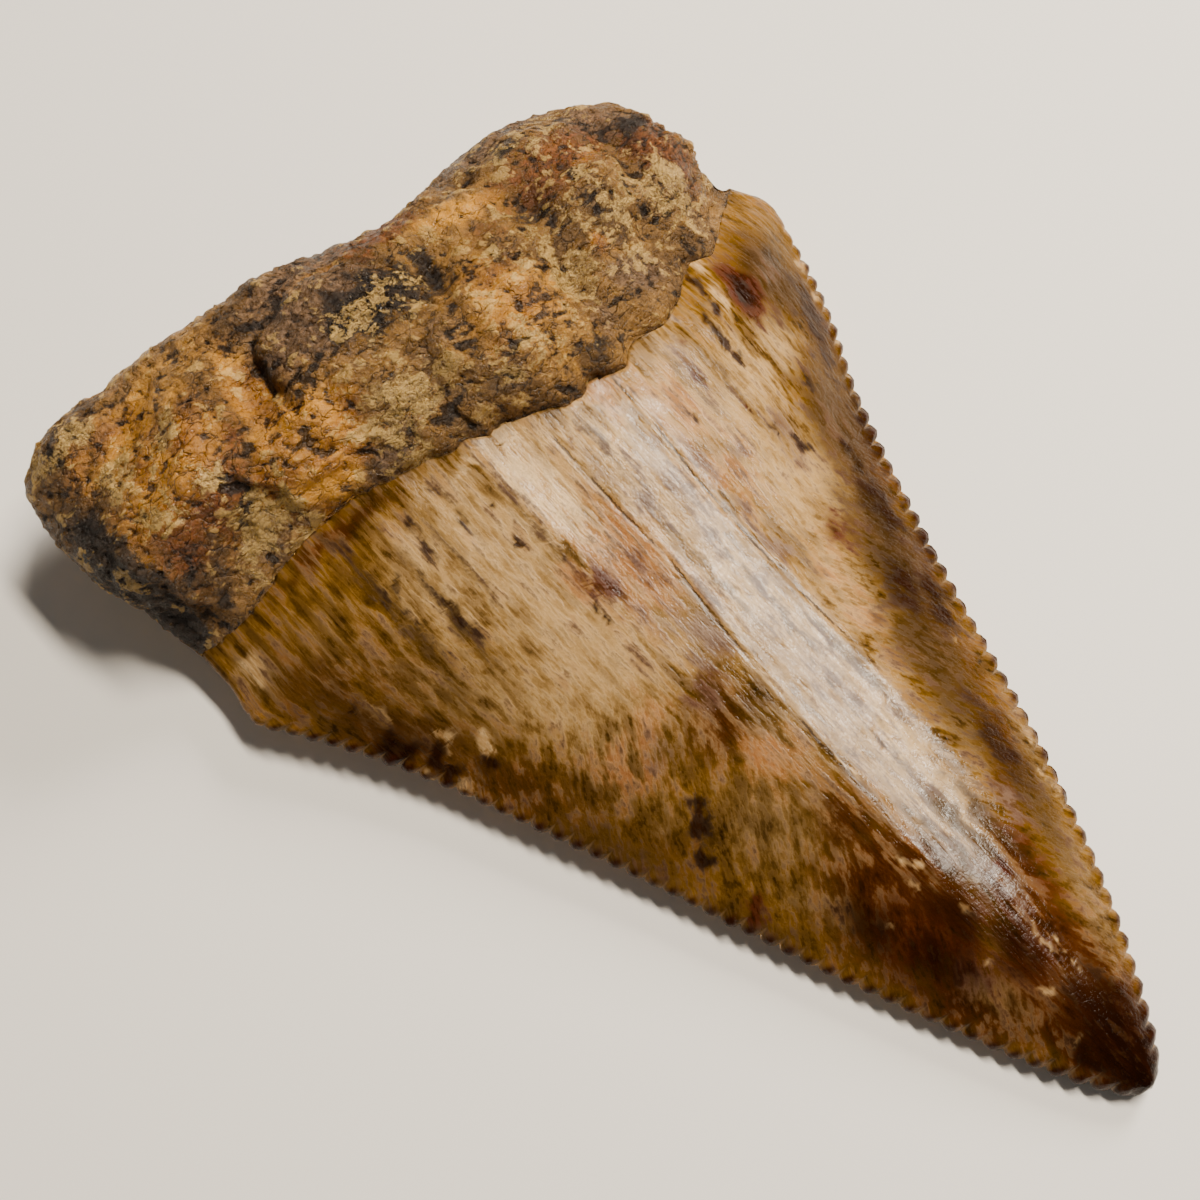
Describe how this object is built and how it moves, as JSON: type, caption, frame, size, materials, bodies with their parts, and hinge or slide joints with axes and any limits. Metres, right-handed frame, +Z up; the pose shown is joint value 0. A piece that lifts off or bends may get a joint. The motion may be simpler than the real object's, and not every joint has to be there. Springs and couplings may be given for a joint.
{
  "type": "fossil shark tooth",
  "caption": "Broad triangular fossil shark tooth with serrated edges and a thick rough root, lying on its flatter side.",
  "frame": {"origin": "on the surface the tooth lies on, below the middle of its bounding box", "axes": "+Z up, out of the rounded side of the tooth; +Y from the tip towards the root; +X across the tooth"},
  "size_m": [0.0382, 0.0542, 0.0106],
  "materials": {
    "fossil_tooth": "polished brown and cream enamel, rough porous brown root"
  },
  "bodies": {
    "root": {"tooth": "fossil_tooth"}
  },
  "joints": []
}
